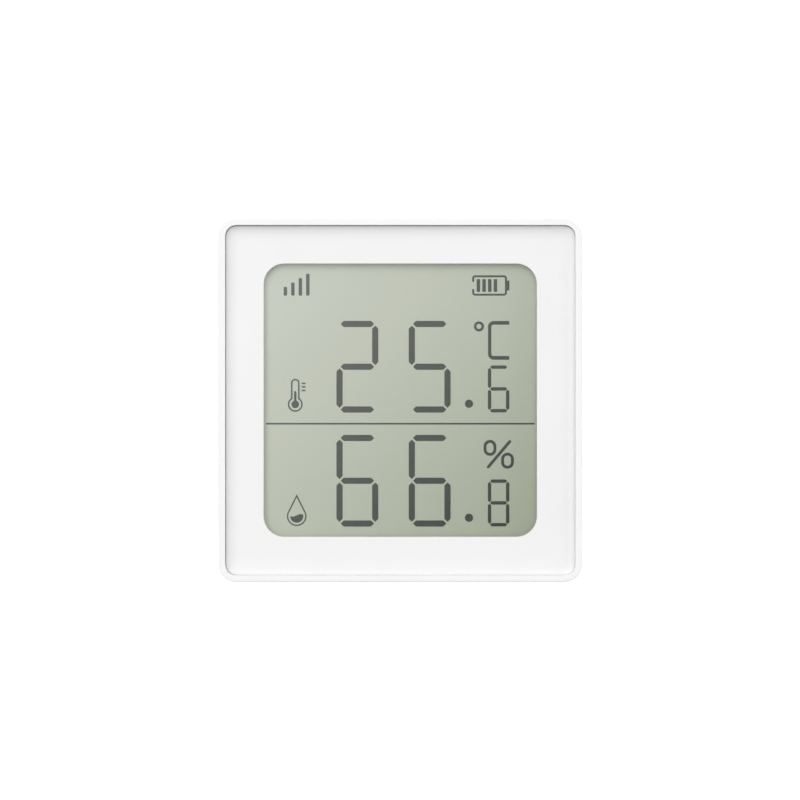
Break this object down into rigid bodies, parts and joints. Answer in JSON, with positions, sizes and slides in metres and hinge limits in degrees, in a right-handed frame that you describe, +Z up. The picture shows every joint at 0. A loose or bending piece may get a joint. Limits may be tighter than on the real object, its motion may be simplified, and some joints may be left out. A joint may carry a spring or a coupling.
{
  "type": "temperature humidity sensor",
  "caption": "Square white desk sensor with a recessed reflective number display for temperature and humidity, a pairing button and a hinged battery door at the back.",
  "frame": {"origin": "on the table under the middle of the case", "axes": "+Z up, the display faces -Y, +X to the right of someone who reads it"},
  "size_m": [0.06, 0.0226, 0.06],
  "materials": {
    "case_white": "satin",
    "face_white": "satin",
    "button_white": "satin",
    "polariser_film": "matte",
    "display_glass": "gloss",
    "display_dark": "matte",
    "seal_grey": "matte",
    "reflector_film": "satin",
    "holder_plastic": "matte",
    "strip_rubber": "matte",
    "board_green": "satin",
    "radio_green": "satin",
    "screw_steel": "satin",
    "chip_black": "matte",
    "can_metal": "satin",
    "passive_ceramic": "satin",
    "capacitor_yellow": "satin",
    "sensor_white": "matte",
    "copper_track": "satin",
    "switch_black": "satin",
    "cell_wrap": "gloss",
    "contact_metal": "polished"
  },
  "bodies": {
    "case": {"front_frame": "case_white", "rear_shell": "case_white", "face_plate": "face_white", "lcd_polariser": "polariser_film", "lcd_front_glass": "display_glass", "lcd_rear_glass": "display_glass", "lcd_segments": "display_dark", "lcd_cell_seal": "seal_grey", "lcd_reflector": "reflector_film", "lcd_holder": "holder_plastic", "connector_strips": "strip_rubber", "main_board": "board_green", "radio_board": "radio_green", "board_screws": "screw_steel", "case_screws": "screw_steel", "display_driver": "chip_black", "clock_crystal": "can_metal", "radio_shield": "can_metal", "small_passives": "passive_ceramic", "storage_capacitor": "capacitor_yellow", "humidity_sensor": "sensor_white", "radio_antenna": "copper_track", "switch_base": "switch_black", "switch_dome": "contact_metal", "upper_cell": "cell_wrap", "lower_cell": "cell_wrap", "positive_plate": "contact_metal", "negative_plate": "contact_metal", "link_plate": "contact_metal", "negative_spring": "contact_metal", "link_spring": "contact_metal"},
    "battery_door": {"battery_door": "case_white"},
    "pair_button": {"button_cap": "button_white", "switch_plunger": "switch_black"}
  },
  "joints": [
    {"name": "door_hinge", "type": "hinge", "parent": "case", "child": "battery_door", "pos_m": [0, 0.00995, 0.0042], "axis": [-1, 0, 0], "range_deg": [0, 90]},
    {"name": "button_press", "type": "slide", "parent": "case", "child": "pair_button", "axis": [0, -1, 0], "range_m": [0, 0.0005], "stiffness_N_per_m": 1500, "deforming": ["switch_dome"]}
  ]
}
